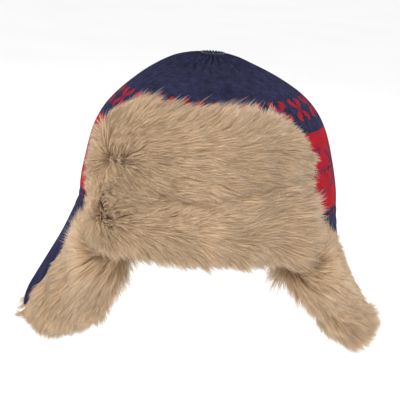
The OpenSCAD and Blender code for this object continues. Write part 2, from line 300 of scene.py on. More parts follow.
class Tree:
    """Short names for the few node kinds that the materials use."""

    def __init__(self, tree):
        self.tree = tree

    def link(self, value, socket):
        if isinstance(value, bpy.types.NodeSocket):
            self.tree.links.new(value, socket)
        else:
            socket.default_value = value

    def math(self, kind, first, second=0.0, third=0.0):
        node = self.tree.nodes.new("ShaderNodeMath")
        node.operation = kind
        for value, socket in zip((first, second, third), node.inputs):
            self.link(value, socket)
        return node.outputs[0]

    def attribute(self, name):
        node = self.tree.nodes.new("ShaderNodeAttribute")
        node.attribute_name = name
        return node.outputs["Fac"]

    def uv(self, name):
        node = self.tree.nodes.new("ShaderNodeUVMap")
        node.uv_map = name
        apart = self.tree.nodes.new("ShaderNodeSeparateXYZ")
        self.tree.links.new(node.outputs["UV"], apart.inputs[0])
        return apart.outputs[0], apart.outputs[1]

    def place(self):
        return self.tree.nodes.new("ShaderNodeTexCoord").outputs["Object"]

    def noise(self, scale, detail=3.0, vector=None, stretch=None):
        vector = vector or self.place()
        if stretch:
            mapping = self.tree.nodes.new("ShaderNodeMapping")
            mapping.inputs["Scale"].default_value = stretch
            self.tree.links.new(vector, mapping.inputs["Vector"])
            vector = mapping.outputs[0]
        node = self.tree.nodes.new("ShaderNodeTexNoise")
        node.inputs["Scale"].default_value = scale
        node.inputs["Detail"].default_value = detail
        self.tree.links.new(vector, node.inputs["Vector"])
        return node.outputs["Fac"]

    def ramp(self, value, stops):
        node = self.tree.nodes.new("ShaderNodeValToRGB")
        marks = node.color_ramp.elements
        while len(marks) < len(stops):
            marks.new(0.5)
        for mark, (at, colour) in zip(marks, stops):
            mark.position = at
            mark.color = (*colour, 1)
        self.link(value, node.inputs[0])
        return node.outputs[0]

    def mix(self, share, first, second, kind="MIX"):
        node = self.tree.nodes.new("ShaderNodeMix")
        node.data_type = "RGBA"
        node.blend_type = kind
        self.link(share, node.inputs[0])
        for value, socket in ((first, node.inputs[6]), (second, node.inputs[7])):
            self.link((*value, 1) if isinstance(value, tuple) else value, socket)
        return node.outputs[2]

    def bump(self, height, distance, strength=1.0, normal=None):
        node = self.tree.nodes.new("ShaderNodeBump")
        node.inputs["Strength"].default_value = strength
        node.inputs["Distance"].default_value = distance
        self.link(height, node.inputs["Height"])
        if normal:
            self.link(normal, node.inputs["Normal"])
        return node.outputs[0]


NAVY = (0.003, 0.003, 0.016)
NAVY_LIGHT = (0.062, 0.062, 0.170)
RED = (0.40, 0.004, 0.014)
RED_LIGHT = (0.72, 0.020, 0.045)


def knit_material(name, with_red):
    """Fine stocking stitch: two slanted legs to each stitch, read from the stitch map, with painted shade
    darkening the grooves between the legs and loops.
    """
    material, tree, shader = new_material(name, rough=0.85, sheen=0.02, specular=0.08)
    t = Tree(tree)
    wale, course = t.uv("stitches")
    leg = t.math("FRACT", t.math("MULTIPLY", wale, 2.0))
    round_leg = t.math("POWER", t.math("SINE", t.math("MULTIPLY", leg, math.pi)), 0.6)
    along = t.math("FRACT", course)
    round_loop = t.math("POWER", t.math("SINE", t.math("MULTIPLY", along, math.pi)), 0.35)
    height = t.math("MULTIPLY", round_leg, round_loop)
    fibres = t.noise(900, 2)
    blotch = t.noise(190, 3, stretch=(1.0, 1.0, 0.35))
    tone = t.math("ADD", t.math("MULTIPLY", fibres, 0.45), t.math("MULTIPLY", blotch, 0.62))
    navy = t.ramp(tone, [(0.25, NAVY), (0.8, NAVY_LIGHT)])
    if with_red:
        red = t.ramp(tone, [(0.25, RED), (0.8, RED_LIGHT)])
        colour = t.mix(t.attribute("red"), navy, red)
    else:
        colour = navy
    # Painted shade: the colour is darkened in the grooves between the stitch legs and loops, where shade
    # falls.
    painted_shading = t.ramp(height, [(0.0, (0.30, 0.30, 0.32)), (0.75, (1.0, 1.0, 1.0))])
    t.link(t.mix(1.0, colour, painted_shading, "MULTIPLY"), shader.inputs["Base Color"])
    fuzzy = t.math("ADD", height, t.math("MULTIPLY", fibres, 0.3))
    puckered = t.math("ADD", fuzzy, t.math("MULTIPLY", blotch, 1.6))
    t.link(t.bump(puckered, 0.0008, 0.9), shader.inputs["Normal"])
    t.link(t.ramp(fibres, [(0.3, (0.78,) * 3), (0.7, (0.95,) * 3)]), shader.inputs["Roughness"])
    return material


def fur_material(name, dark, middle, light):
    """Long pile: darker at the root, paler at the tip, partly the fur's own colour and partly painted shade
    deep in the pile, with a tone for each lock and hair.
    """
    material, tree, shader = new_material(name, rough=0.52, sheen=0.15, specular=0.35)
    t = Tree(tree)
    along = t.attribute("along")
    tone = t.attribute("tone")
    # Darker towards the root: partly the fur's own colour, partly painted shade deep in the pile.
    body = t.ramp(along, [(0.0, dark), (0.45, middle), (1.0, light)])
    # The tone's ramp also carries the ear flaps' painted light, a paler tone for their hair.
    cast = t.ramp(tone, [(0.0, (0.66, 0.60, 0.53)), (0.5, (0.97, 0.96, 0.94)), (1.0, (1.18, 1.17, 1.14))])
    blotch = t.ramp(t.noise(28, 2), [(0.3, (0.86, 0.84, 0.80)), (0.7, (1.06, 1.05, 1.04))])
    t.link(t.mix(1.0, t.mix(1.0, body, cast, "MULTIPLY"), blotch, "MULTIPLY"),
           shader.inputs["Base Color"])
    t.link(t.ramp(t.noise(420, 2), [(0.3, (0.45,) * 3), (0.7, (0.62,) * 3)]),
           shader.inputs["Roughness"])
    return material


def soft_cloth(name, dark, light, scale, distance, rough=0.9, sheen=0.3, stretch=None):
    """Brushed or felted cloth with a fine nap."""
    material, tree, shader = new_material(name, rough=rough, sheen=sheen, specular=0.2)
    t = Tree(tree)
    nap = t.noise(scale, 4, stretch=stretch)
    blotch = t.noise(scale * 0.06, 2)
    tone = t.math("ADD", t.math("MULTIPLY", nap, 0.7), t.math("MULTIPLY", blotch, 0.4))
    t.link(t.ramp(tone, [(0.3, dark), (0.8, light)]), shader.inputs["Base Color"])
    t.link(t.bump(nap, distance, 0.8), shader.inputs["Normal"])
    t.link(t.ramp(nap, [(0.3, (rough - 0.08,) * 3), (0.7, (min(1.0, rough + 0.06),) * 3)]),
           shader.inputs["Roughness"])
    return material


def woven_cloth(name, dark, light, pitch):
    """Plain weave: fine threads over and under each other."""
    material, tree, shader = new_material(name, rough=0.8, sheen=0.2, specular=0.25)
    t = Tree(tree)
    apart = tree.nodes.new("ShaderNodeSeparateXYZ")
    tree.links.new(t.place(), apart.inputs[0])
    turns = 2 * math.pi / pitch
    warp = t.math("SINE", t.math("MULTIPLY", apart.outputs[0], turns))
    weft = t.math("SINE", t.math("MULTIPLY", apart.outputs[2], turns))
    weave = t.math("MULTIPLY_ADD", t.math("MULTIPLY", warp, weft), 0.5, 0.5)
    grain = t.math("ADD", t.math("MULTIPLY", weave, 0.6), t.math("MULTIPLY", t.noise(700, 2), 0.4))
    t.link(t.ramp(grain, [(0.25, dark), (0.8, light)]), shader.inputs["Base Color"])
    t.link(t.bump(weave, 0.0002, 0.8), shader.inputs["Normal"])
    t.link(t.ramp(grain, [(0.2, (0.72,) * 3), (0.8, (0.88,) * 3)]), shader.inputs["Roughness"])
    return material


def twisted_thread(name, dark, light):
    """Sewing thread with a twist."""
    material, tree, shader = new_material(name, rough=0.55, sheen=0.2, specular=0.4)
    t = Tree(tree)
    twist = t.noise(1500, 2, stretch=(1.0, 1.0, 2.5))
    t.link(t.ramp(twist, [(0.3, dark), (0.7, light)]), shader.inputs["Base Color"])
    t.link(t.bump(twist, 0.0001, 0.6), shader.inputs["Normal"])
    t.link(t.ramp(twist, [(0.3, (0.45,) * 3), (0.7, (0.65,) * 3)]), shader.inputs["Roughness"])
    return material


# The first colour, at the root, is partly painted shade deep in the pile.
FUR = fur_material("fur_pile", (0.54, 0.36, 0.215), (0.67, 0.475, 0.295), (0.82, 0.63, 0.44))
UNDERCOAT = soft_cloth("fur_undercoat", (0.50, 0.34, 0.205), (0.70, 0.51, 0.33), 260, 0.0012)
CROWN_KNIT = knit_material("crown_knit", True)
FLAP_KNIT = knit_material("flap_knit", False)
FLEECE = soft_cloth("lining_fleece", (0.010, 0.012, 0.030), (0.040, 0.045, 0.085), 420, 0.0008)
WADDING = soft_cloth("wadding", (0.62, 0.60, 0.55), (0.88, 0.87, 0.82), 300, 0.0010)
FELT = soft_cloth("interlining", (0.50, 0.48, 0.43), (0.78, 0.76, 0.70), 520, 0.0003)
BACKING_CLOTH = woven_cloth("flap_backing", (0.012, 0.014, 0.040), (0.040, 0.045, 0.100), 0.0012)
LABEL_TAPE = woven_cloth("label_tape", (0.55, 0.55, 0.53), (0.86, 0.86, 0.84), 0.0007)
THREAD = twisted_thread("sewing_thread", (0.008, 0.010, 0.030), (0.035, 0.040, 0.090))


def dress(obj, material, body=None, replaces=()):
    obj.data.materials.clear()
    obj.data.materials.append(material)
    if body:
        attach(obj, body)
    if replaces:
        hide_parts(*replaces)
    return obj


# ---------- Stage, lights and camera ----------

CAMERA_TURN = 5.0
CAMERA_RISE = 13.0
CAMERA_ROLL = 4.1
CAMERA_DISTANCE = 1.079
CAMERA_LENS = 120.0
# What the middle of the picture shows, across and up in the camera's plane
PICTURE_MIDDLE = (-0.0063, 0.0004)
FLOOR_BELOW = 0.12


def add_camera():
    data = bpy.data.cameras.new("camera")
    data.lens = CAMERA_LENS
    camera = bpy.data.objects.new("camera", data)
    bpy.context.scene.collection.objects.link(camera)
    turn, rise = math.radians(CAMERA_TURN), math.radians(CAMERA_RISE)
    back = Vector((math.sin(turn) * math.cos(rise), -math.cos(turn) * math.cos(rise), math.sin(rise)))
    pose = (-back).to_track_quat("-Z", "Y").to_matrix()
    roll = Matrix.Rotation(math.radians(CAMERA_ROLL), 3, "Z")
    pose = pose @ roll
    offset = pose @ Vector((*PICTURE_MIDDLE, 0))
    camera.matrix_world = Matrix.Translation(back * CAMERA_DISTANCE + offset) @ pose.to_4x4()
    bpy.context.scene.camera = camera
    bpy.context.scene.view_settings.view_transform = "Standard"


def add_area_light(name, place, aim, size, power, colour=(1, 1, 1)):
    data = bpy.data.lights.new(name, "AREA")
    data.size = size
    data.energy = power
    data.color = colour
    light = bpy.data.objects.new(name, data)
    light.location = place
    light.rotation_mode = "QUATERNION"
    light.rotation_quaternion = (Vector(aim) - Vector(place)).to_track_quat("-Z", "Y")
    bpy.context.scene.collection.objects.link(light)


def add_stage():
    """A plain pale floor well below the hat, an even white surround and three soft lights."""
    size = 6.0
    low = cad_low[2] - FLOOR_BELOW
    floor = make_mesh("floor", np.array([
        [-size, -size, low], [size, -size, low], [size, size, low], [-size, size, low]]) / MM,
        [[0, 1, 2, 3]], smooth_shaded=False)
    material, tree, shader = new_material("floor_paint", rough=0.9, specular=0.1)
    t = Tree(tree)
    t.link(t.ramp(t.noise(3, 2), [(0.3, (0.93, 0.93, 0.93)), (0.7, (0.95, 0.95, 0.95))]),
           shader.inputs["Base Color"])
    floor.data.materials.append(material)
    world = bpy.data.worlds.new("studio")
    world.use_nodes = True
    world.node_tree.nodes["Background"].inputs[0].default_value = (1, 1, 1, 1)
    world.node_tree.nodes["Background"].inputs[1].default_value = 1.0
    bpy.context.scene.world = world
    middle = (0, 0, 0.0)
    add_area_light("key", (-0.7, -1.3, 1.3), middle, 0.9, 15)
    add_area_light("fill", (1.3, -1.1, 0.5), middle, 1.2, 6)
    add_area_light("rim", (0.2, 1.2, 1.3), middle, 1.0, 6)


# ---------- Knitted crown ----------

WALES = 360
COURSE_HEIGHT = 1.5
BAND_LOW, BAND_HIGH = 7, 49
BAND_PERIOD = 36
BAND_FIRST = 84
STAR_MIDDLE = 62
STAR_PERIOD = 18


def rise_table():
    """Rise angle of each course, counted up from the hem along the dome."""
    angle = np.radians(np.linspace(0, 88.5, 400))
    radius = (HALF_WIDTH + HALF_DEPTH) / 2
    path = np.hypot(np.diff(radius * np.cos(angle)), np.diff(HEIGHT * np.sin(angle)))
    length = np.concatenate([[0], np.cumsum(path)])
    count = int(length[-1] / COURSE_HEIGHT)
    return np.interp(np.arange(count + 1) * COURSE_HEIGHT, length, np.degrees(angle))


def big_flake(x, y):
    """An eight-armed snowflake with barbs, in stitches from its middle."""
    x, y = np.abs(x), np.abs(y)
    far, near = np.maximum(x, y), np.minimum(x, y)
    arms = (near == 0) & (far >= 2) & (far <= 12)
    arms |= (near == 1) & (far >= 9) & (far <= 11)
    arms |= (far - near <= 1) & (far >= 3) & (far <= 10)
    barbs = (near == 3) & (far >= 7) & (far <= 8)
    barbs |= (near >= 2) & (near <= 3) & (far == 6)
    return arms | barbs | (far <= 1)


def small_flake(x, y):
    """A diagonal cross with split ends."""
    x, y = np.abs(x), np.abs(y)
    far, near = np.maximum(x, y), np.minimum(x, y)
    cross = (far - near <= 1) & (far >= 2) & (far <= 5)
    cross |= (far == 6) & (near >= 3) & (near <= 5)
    cross |= (far == 4) & (near == 2)
    return cross | (far + near == 1)


def red_stitches(wale, course):
    """Which stitches are red: a band with navy snowflakes, a row of red ones above, dashes below."""
    red = (course >= BAND_LOW) & (course < BAND_HIGH)
    x = (wale - BAND_FIRST + BAND_PERIOD // 2) % BAND_PERIOD - BAND_PERIOD // 2
    y = course - (BAND_LOW + BAND_HIGH) // 2
    red &= ~big_flake(x, y)
    between = (wale - BAND_FIRST) % BAND_PERIOD - BAND_PERIOD // 2
    for height in (-11, 0, 11):
        far = np.abs(between) + np.abs(y - height)
        red &= ~((far == 1) | (far == 2) & (np.abs(between) * np.abs(y - height) == 0))
    x = (wale - BAND_FIRST + STAR_PERIOD // 2) % STAR_PERIOD - STAR_PERIOD // 2
    red |= small_flake(x, course - STAR_MIDDLE)
    red |= (course == BAND_LOW - 4) & (wale % 4 < 2)
    return red


RIB = 0.28
PLEATS = 30
# Depth and height of the rows that turn in under the hem, and heights of the rows inside
HEM = ((-0.2, 0.9), (-1.2, 0.15), (-3.0, -0.15), (-6.0, -0.2), (-9.5, -0.1), (-11.4, 0.5), (-11.7, 2.4))
KNIT_INSIDE = (3.4, 20, 45, 70, 95, 112, 122)
dents = Waves(3, 85)
gathers = Waves(5, 14)


def crown_height_field(turn, rise, at):
    """How far the knit stands off the plain dome: soft dents, and pleats drawn together on top."""
    off = 1.3 * dents(at) * (1 - smooth(rise, 70, 88)) * smooth(rise, 0, 12)
    close = smooth(rise, 48, 78)
    wobble = 0.5 * gathers(at)
    fold = np.cos(np.radians(turn * PLEATS) + wobble * 2.4)
    off += close * 1.3 * (np.sqrt(np.abs(0.5 + 0.5 * fold)) * 2 - 1.3)
    off -= 0.9 * smooth(rise, 84, 88.5)
    return off


def make_crown_knit():
    """The crown's knit with a column of points for each half stitch, and its turned-in hem."""
    rises = rise_table()
    courses = len(rises) - 1
    columns = WALES * 2
    turn = np.arange(columns) * 360.0 / columns
    odd = np.arange(columns) % 2
    rows, marks = [], []
    lift = 0.4 * (rises[1] - rises[0])
    for course in range(courses, 0, -1):
        rise = rises[course] - odd * lift
        at = dome(turn, rise)
        off = crown_height_field(turn, rise, at)
        fade = 1 - 0.6 * smooth(rise, 60, 85)
        off = off + RIB * (odd - 0.5) * fade
        rows.append(dome(turn, rise, off))
        marks.append(course)
    for number, (off, z) in enumerate(HEM):
        at = dome(turn, rise_at(z, off), off + RIB * 0.6 * (odd - 0.5))
        rows.append(at)
        marks.append(-number)
    for z in KNIT_INSIDE:
        off = -KNIT - 0.1
        rows.append(dome(turn, rise_at(z, off), off) + 0 * turn[:, None])
        marks.append(-8)
    rows = np.array(rows)
    quads = sheet_faces(len(rows), columns, wrap=True)
    top = rows[0].mean(0) - [0, 0, 0.5]
    low = rows[-1].mean(0) + [0, 0, 1.2]
    tris = end_caps(len(rows), columns)
    obj = make_mesh("crown_knit", np.concatenate([rows.reshape(-1, 3), [top, low]]),
                    quads[:, ::-1], tris)
    marks = np.array(marks)
    row_of = np.repeat(np.arange(len(rows) - 1), columns)
    column_of = np.tile(np.arange(columns), len(rows) - 1)
    wale_of = column_of // 2
    course_of = marks[row_of] - 1
    red = red_stitches(wale_of, course_of) & (marks[row_of] > 0)
    add_values(obj, "red", np.concatenate([red, np.zeros(2 * columns)]), "FACE")
    # The quads are reversed, so their corners run: low left, low right, high right, high left
    u = np.stack([column_of, column_of + 1, column_of + 1, column_of], -1) / 2.0
    v = np.stack([marks[row_of + 1], marks[row_of + 1], marks[row_of], marks[row_of]], -1)
    layer = obj.data.uv_layers.new(name="stitches")
    flat = np.zeros((len(quads) * 4 + len(tris) * 3, 2))
    flat[:len(quads) * 4, 0] = u.ravel()
    flat[:len(quads) * 4, 1] = v.ravel()
    layer.data.foreach_set("uv", flat.ravel())
    return dress(obj, CROWN_KNIT, "crown", ("crown_shell",))


def dome_layer(name, outer, inner, low, columns, rows, field):
    """A closed dome layer between two depths; field gives how far its inner face swells."""
    turn = np.arange(columns) * 360.0 / columns
    rings = []
    for k in range(rows + 1):
        rise = 87 + (rise_at(low, -outer) - 87) * k / rows
        rings.append(dome(turn, rise, -outer) + 0 * turn[:, None])
    for k in range(rows, -1, -1):
        rise = 87 + (rise_at(low, -inner) - 87) * k / rows
        at = dome(turn, rise, -inner)
        rings.append(dome(turn, rise, -inner + field(turn, at)))
    rings = np.array(rings)
    points = np.concatenate([rings.reshape(-1, 3), [rings[0].mean(0), rings[-1].mean(0)]])
    quads = sheet_faces(len(rings), columns, wrap=True)[:, ::-1]
    return make_mesh(name, points, quads, end_caps(len(rings), columns))


GORES = 6
fleece_nap = Waves(11, 5)
fleece_swell = Waves(12, 40)
wadding_lumps = Waves(13, 18)


def lining_field(turn, at):
    """Gores meet in sewn grooves; the fleece between them swells a little into the hat."""
    from_seam = np.abs((turn + 30) % (360 / GORES) - 180 / GORES) / (180 / GORES)
    groove = smooth(from_seam, 0.90, 1.0)
    return 1.0 * groove - 0.35 * np.abs(fleece_nap(at)) - 0.5 * (1 + fleece_swell(at)) * (1 - groove)


def wadding_field(turn, at):
    """The wadding is a little lumpy all over, whatever the turn."""
    return 0.25 + 0.25 * wadding_lumps(at)


def make_crown_inside():
    """The fleece lining and the wadding between it and the knit."""
    lining = dome_layer("crown_lining_fleece", WALL - LINING + 0.05, WALL - 0.5, 2.8, 240, 60, lining_field)
    dress(lining, FLEECE, "crown", ("crown_lining",))
    wadding = dome_layer("crown_padding", KNIT + 0.35, WALL - LINING - 0.75, 3.0, 120, 30, wadding_field)
    dress(wadding, WADDING, "crown", ("crown_wadding",))


# ---------- Fur ----------

rng = np.random.default_rng(20)


def surface_samples(obj, extra, count, keep, density=None):
    """Random points on an undercoat's surface, with their normals and its values there."""
    mesh = obj.data
    mesh.calc_loop_triangles()
    corners = np.empty(len(mesh.loop_triangles) * 3, np.int32)
    mesh.loop_triangles.foreach_get("vertices", corners)
    corners = corners.reshape(-1, 3)
    points = np.empty(len(mesh.vertices) * 3, np.float32)
    mesh.vertices.foreach_get("co", points)
    points = points.reshape(-1, 3).astype(float) / MM
    normals = np.empty(len(mesh.vertices) * 3, np.float32)
    mesh.vertex_normals.foreach_get("vector", normals)
    normals = normals.reshape(-1, 3).astype(float)
    corners = corners[keep[corners].all(1)]
    a, b, c = (points[corners[:, k]] for k in range(3))
    area = np.linalg.norm(np.cross(b - a, c - a), axis=1)
    if density is not None:
        area = area * density[corners].mean(1)
    chosen = rng.choice(len(corners), count, p=area / area.sum())
    share = rng.random((count, 2))
    share = np.where(share.sum(1, keepdims=True) > 1, 1 - share, share)
    weight = np.column_stack([1 - share.sum(1), share])
    at = np.einsum("ij,ijk->ik", weight, points[corners[chosen]])
    normal = unit(np.einsum("ij,ijk->ik", weight, normals[corners[chosen]]))
    return at, normal, np.einsum("ij,ijk->ik", weight, extra[corners[chosen]])


# Where the four points of a hair lie along it, and its radius at the first three
STATIONS = np.array([0.0, 0.38, 0.74, 1.0])
WIDTHS = np.array([0.27, 0.23, 0.15])
SIDES = 3
# Hairs in a lock, and how far a hair's tip is drawn to the middle of its lock
LOCK = 22
LOCK_PULL = 0.42
# How far the tips sway together and each by itself
CURL = 0.8
FRIZZ = 0.45
FRONT_HAIRS = 50000
EAR_HAIRS = 25000
FRONT_HAIR_LENGTH = 22.0
EAR_HAIR_LENGTH = 21.0
# How much paler the ear flaps' hair is painted: painted light, standing in for the light that falls on them
EAR_PAINTED_LIGHT = 0.17
curl = [Waves(31, 17), Waves(32, 17), Waves(33, 17)]


def strand_paths(at, normal, flow, length, rise, droop):
    """Four points along each hair: it leaves the skin at "rise" and lies over along its flow."""
    s = STATIONS[None, :, None]
    up = (s - 0.46 * s * s) * np.sin(rise)[:, None, None]
    over = (0.55 * s + 0.45 * s * s) * np.cos(rise)[:, None, None]
    path = at[:, None] + length[:, None, None] * (up * normal[:, None] + over * flow[:, None])
    path[..., 2] -= (droop * length)[:, None] * STATIONS[None] ** 2
    return path


def make_fur(names, at, normal, flow, length, rise, droop, body, painted_shading=0.0):
    """Locks of hair: every hair leans towards the middle hair of its lock as it nears the tip."""
    count = len(at)
    lock_count = count // LOCK
    leaders = rng.choice(count, lock_count, replace=False)
    tree = KDTree(lock_count)
    for k, leader in enumerate(leaders):
        tree.insert(Vector(at[leader]), k)
    tree.balance()
    lock = np.array([tree.find(Vector(p))[1] for p in at])
    side = unit(np.cross(flow, normal))
    lock_turn = rng.normal(0, 0.10, lock_count)
    lock_rise = rng.normal(0, 0.06, lock_count)
    lock_length = rng.normal(1, 0.08, lock_count)
    lock_tone = rng.normal(0, 0.09, lock_count)
    turn = lock_turn[lock] + rng.normal(0, 0.10, count)
    flow = unit(flow * np.cos(turn)[:, None] + side * np.sin(turn)[:, None])
    rise = np.clip(rise + lock_rise[lock] + rng.normal(0, 0.09, count), 0.08, 1.3)
    length = length * lock_length[lock] * rng.uniform(0.70, 1.12, count)
    path = strand_paths(at, normal, flow, length, rise, droop)
    pull = (LOCK_PULL * STATIONS ** 1.3)[None, :, None] * rng.uniform(0.3, 1.0, count)[:, None, None]
    path = path + pull * (path[leaders][lock] - path)
    bend = np.stack([wave(at) for wave in curl], -1)
    path += (CURL * STATIONS ** 2)[None, :, None] * bend[:, None]
    path += (FRIZZ * STATIONS ** 1.5)[None, :, None] * rng.normal(size=(count, 1, 3))
    # Painted light: the ear flaps' hairs get a paler tone that stands in for the light falling on them; the
    # rest of the tone differs at random by lock and hair.
    tone = np.clip(0.5 + painted_shading + lock_tone[lock] + rng.normal(0, 0.15, count), 0, 1)
    for name, chosen in zip(names, np.array_split(np.arange(count), len(names))):
        dress(strand_mesh(name, path[chosen], tone[chosen]), FUR, body)


def strand_mesh(name, path, tone):
    """Tapered three-sided hairs, closed at the root and pointed at the tip."""
    count = len(path)
    tangent = unit(path[:, 1:] - path[:, :-1])
    helper = unit(rng.normal(size=(count, 1, 3)))
    one = unit(np.cross(tangent, helper))
    two = np.cross(tangent, one)
    turn = (2 * math.pi * np.arange(SIDES) / SIDES)[None, None, :, None]
    ring = one[:, :, None] * np.cos(turn) + two[:, :, None] * np.sin(turn)
    thick = rng.uniform(0.75, 1.2, (count, 1, 1, 1)) * WIDTHS[None, :, None, None]
    rings = path[:, :3, None] + thick * ring
    points = np.concatenate([rings.reshape(count, -1, 3), path[:, 3:]], 1)
    per = points.shape[1]
    base = (np.arange(count) * per)[:, None, None]
    quads = [
        [low + j, low + (j + 1) % SIDES, low + SIDES + (j + 1) % SIDES, low + SIDES + j]
        for low in (0, SIDES) for j in range(SIDES)
    ]
    tris = [[2 * SIDES + j, 2 * SIDES + (j + 1) % SIDES, per - 1] for j in range(SIDES)]
    tris.append([2, 1, 0])
    quads = (np.array(quads)[None] + base).reshape(-1, 4)
    tris = (np.array(tris)[None] + base).reshape(-1, 3)
    obj = make_mesh(name, points.reshape(-1, 3), quads, tris)
    along = np.concatenate([np.repeat(STATIONS[:3], SIDES), STATIONS[3:]])
    add_values(obj, "along", np.tile(along, count))
    add_values(obj, "tone", np.repeat(tone, per))
    return obj


def onto(flow, normal):
    """Flow laid flat in the skin's plane."""
    return unit(flow - (flow * normal).sum(-1, keepdims=True) * normal)


# Front flap: x, z and reach of the whorls that the pile parts from, and x of the parting line
WHORLS = ((-54.0, 48.0, 24.0), (-70.0, 3.0, 16.0))
WHORL_PULL = 0.935
PARTING = -70.0
# How far the skin stays inside the pile's outline at the sides, the foot and the top
SKIN_INSET_SIDE, SKIN_INSET_FOOT, SKIN_INSET_TOP = 6.0, 3.0, 15.0
pile_lean = Waves(41, 30)
pile_depth = Waves(42, 26)


def crease_height(x):
    """Height of the valley between the upper flap and the roll along its foot."""
    return 24 + 15 * smooth(np.abs(x), 5, 65)


def front_bulk(u, v, x, z):
    """Depth of the undercoat: thin at the rim, full in the middle, with the crease pressed in."""
    rim = np.sqrt(np.clip(1 - np.abs(u) ** 5, 0, 1)) * np.sqrt(np.clip(1 - np.abs(2 * v - 1) ** 7, 0, 1))
    dip = np.exp(-((z - crease_height(x)) / 7.5) ** 2)
    roll = np.exp(-((z - 6) / 15.0) ** 2)
    return 1.0 + rim * (7.6 + 2.8 * roll - 4.4 * dip + 1.0 * pile_depth(np.stack([x, z, 0 * x], -1)))


def make_front_undercoat():
    """The front flap's skin, which of its points show, and their places across and up."""
    u, v = grid(121, 91)
    half = FRONT_HALF + FRONT_OVERHANG - SKIN_INSET_SIDE
    low = rise_at(SKIN_INSET_FOOT - FRONT_HANG)
    high = rise_at(FRONT_TOP + FRONT_OVERHANG - SKIN_INSET_TOP)
    rise = low + (high - low) * v
    x = u * half * rounded(v, 0.62, 1.10)
    z = front_point(x, rise, FRONT_FUR_OFF)[..., 2]
    bulk = front_bulk(u, v, x, z)
    face = front_point(x, rise, FRONT_FUR_OFF + bulk)
    back = front_point(x, rise, FRONT_FUR_OFF - 0.3 + 0 * bulk)
    obj = closed_sheet("front_fur_undercoat", face, back)
    keep = np.arange(2 * u.size) < u.size
    return obj, keep, np.tile(np.stack([u.ravel(), v.ravel()], -1), (2, 1))


def front_flow(at):
    """Direction of the pile over the front flap: sideways, up at the top, and down at the foot."""
    x, z = at[:, 0], at[:, 2]
    upper = 4 + 62 * smooth(z, 58, 82) - 8 * smooth(x, 20, 70)
    at_side = smooth(x, 40, 72)
    foot = 24 - 78 * (1 - smooth(z, -12, 8)) * (1 - 0.8 * at_side) - 14 * at_side
    below = 1 - smooth(z - crease_height(x), -8, 4)
    angle = np.radians(upper * (1 - below) + foot * below)
    direction = np.stack([np.cos(angle), np.sin(angle)], -1)
    leftward = (1 - smooth(x, PARTING - 8, PARTING + 8))[:, None]
    direction = direction * (1 - leftward) + leftward * np.array([-1.0, -0.15])
    for x0, z0, reach in WHORLS:
        away = np.stack([x - x0, z - z0], -1)
        far = np.linalg.norm(away, axis=1)
        weight = WHORL_PULL * np.exp(-(far / reach) ** 2)[:, None]
        direction = direction + weight * away / np.maximum(far, 1)[:, None]
    direction = unit(direction)
    lean = 0.20 * pile_lean(at)
    cos, sin = np.cos(lean), np.sin(lean)
    direction = np.stack([direction[:, 0] * cos - direction[:, 1] * sin,
                          direction[:, 0] * sin + direction[:, 1] * cos], -1)
    turn = np.arctan2(x / HALF_WIDTH, -at[:, 1] / HALF_DEPTH)
    across = np.stack([np.cos(turn), np.sin(turn), 0 * turn], -1)
    rise = np.arcsin(np.clip(z / (HEIGHT + 15), -0.2, 0.95))
    up = np.stack([-np.sin(turn) * np.sin(rise), np.cos(turn) * np.sin(rise), np.cos(rise)], -1)
    return direction[:, :1] * across + direction[:, 1:] * up


def roll_ends(u, v):
    """Both ends of the roll along the front flap's foot, where the fur covers the hem."""
    return (1 - smooth(v, 0.30, 0.45)) * smooth(np.abs(u), 0.70, 0.90)


def make_front_fur():
    """The front flap's fur: wispy along the top, full and sideways at the ends of the roll."""
    undercoat, keep, extra = make_front_undercoat()
    dress(undercoat, UNDERCOAT, "front_flap", ("front_flap_fur",))
    u, v = extra.T
    density = 1 + 0.8 * roll_ends(u, v) - 0.45 * smooth(v, 0.88, 1.0)
    at, normal, values = surface_samples(undercoat, extra, FRONT_HAIRS, keep, density)
    u, v = values.T
    flow = onto(front_flow(at), normal)
    parting = np.exp(-((at[:, 0] - PARTING) / 10) ** 2)
    for x0, z0, reach in WHORLS:
        parting += np.exp(-((at[:, 0] - x0) ** 2 + (at[:, 2] - z0) ** 2) / (0.5 * reach) ** 2)
    low_side = roll_ends(u, v)
    top = smooth(v, 0.84, 0.97)
    length = FRONT_HAIR_LENGTH + (5.0 + rng.uniform(-9, 8, FRONT_HAIRS)) * top
    length += 14.0 * low_side * (at[:, 0] > 0)
    rise = 0.42 - 0.06 * smooth(v, 0.85, 1.0) + 0.12 * smooth(np.abs(u), 0.85, 1.0) + 0.3 * low_side
    rise += 0.2 * np.minimum(parting, 1)
    droop = 0.08 + 0.12 * (1 - smooth(v, 0.0, 0.3))
    names = [f"front_fur_{k + 1}" for k in range(4)]
    make_fur(names, at, normal, flow, length, rise, droop, "front_flap")


OUTER_COLUMNS, EDGE_COLUMNS, INNER_COLUMNS = 16, 12, 56
# Share of the columns before the inside begins
FRONT_SHARE = (OUTER_COLUMNS + EDGE_COLUMNS) / (OUTER_COLUMNS + EDGE_COLUMNS + INNER_COLUMNS)
EDGE_REACH = 0.13
EAR_SKIN_INSET = 6.0


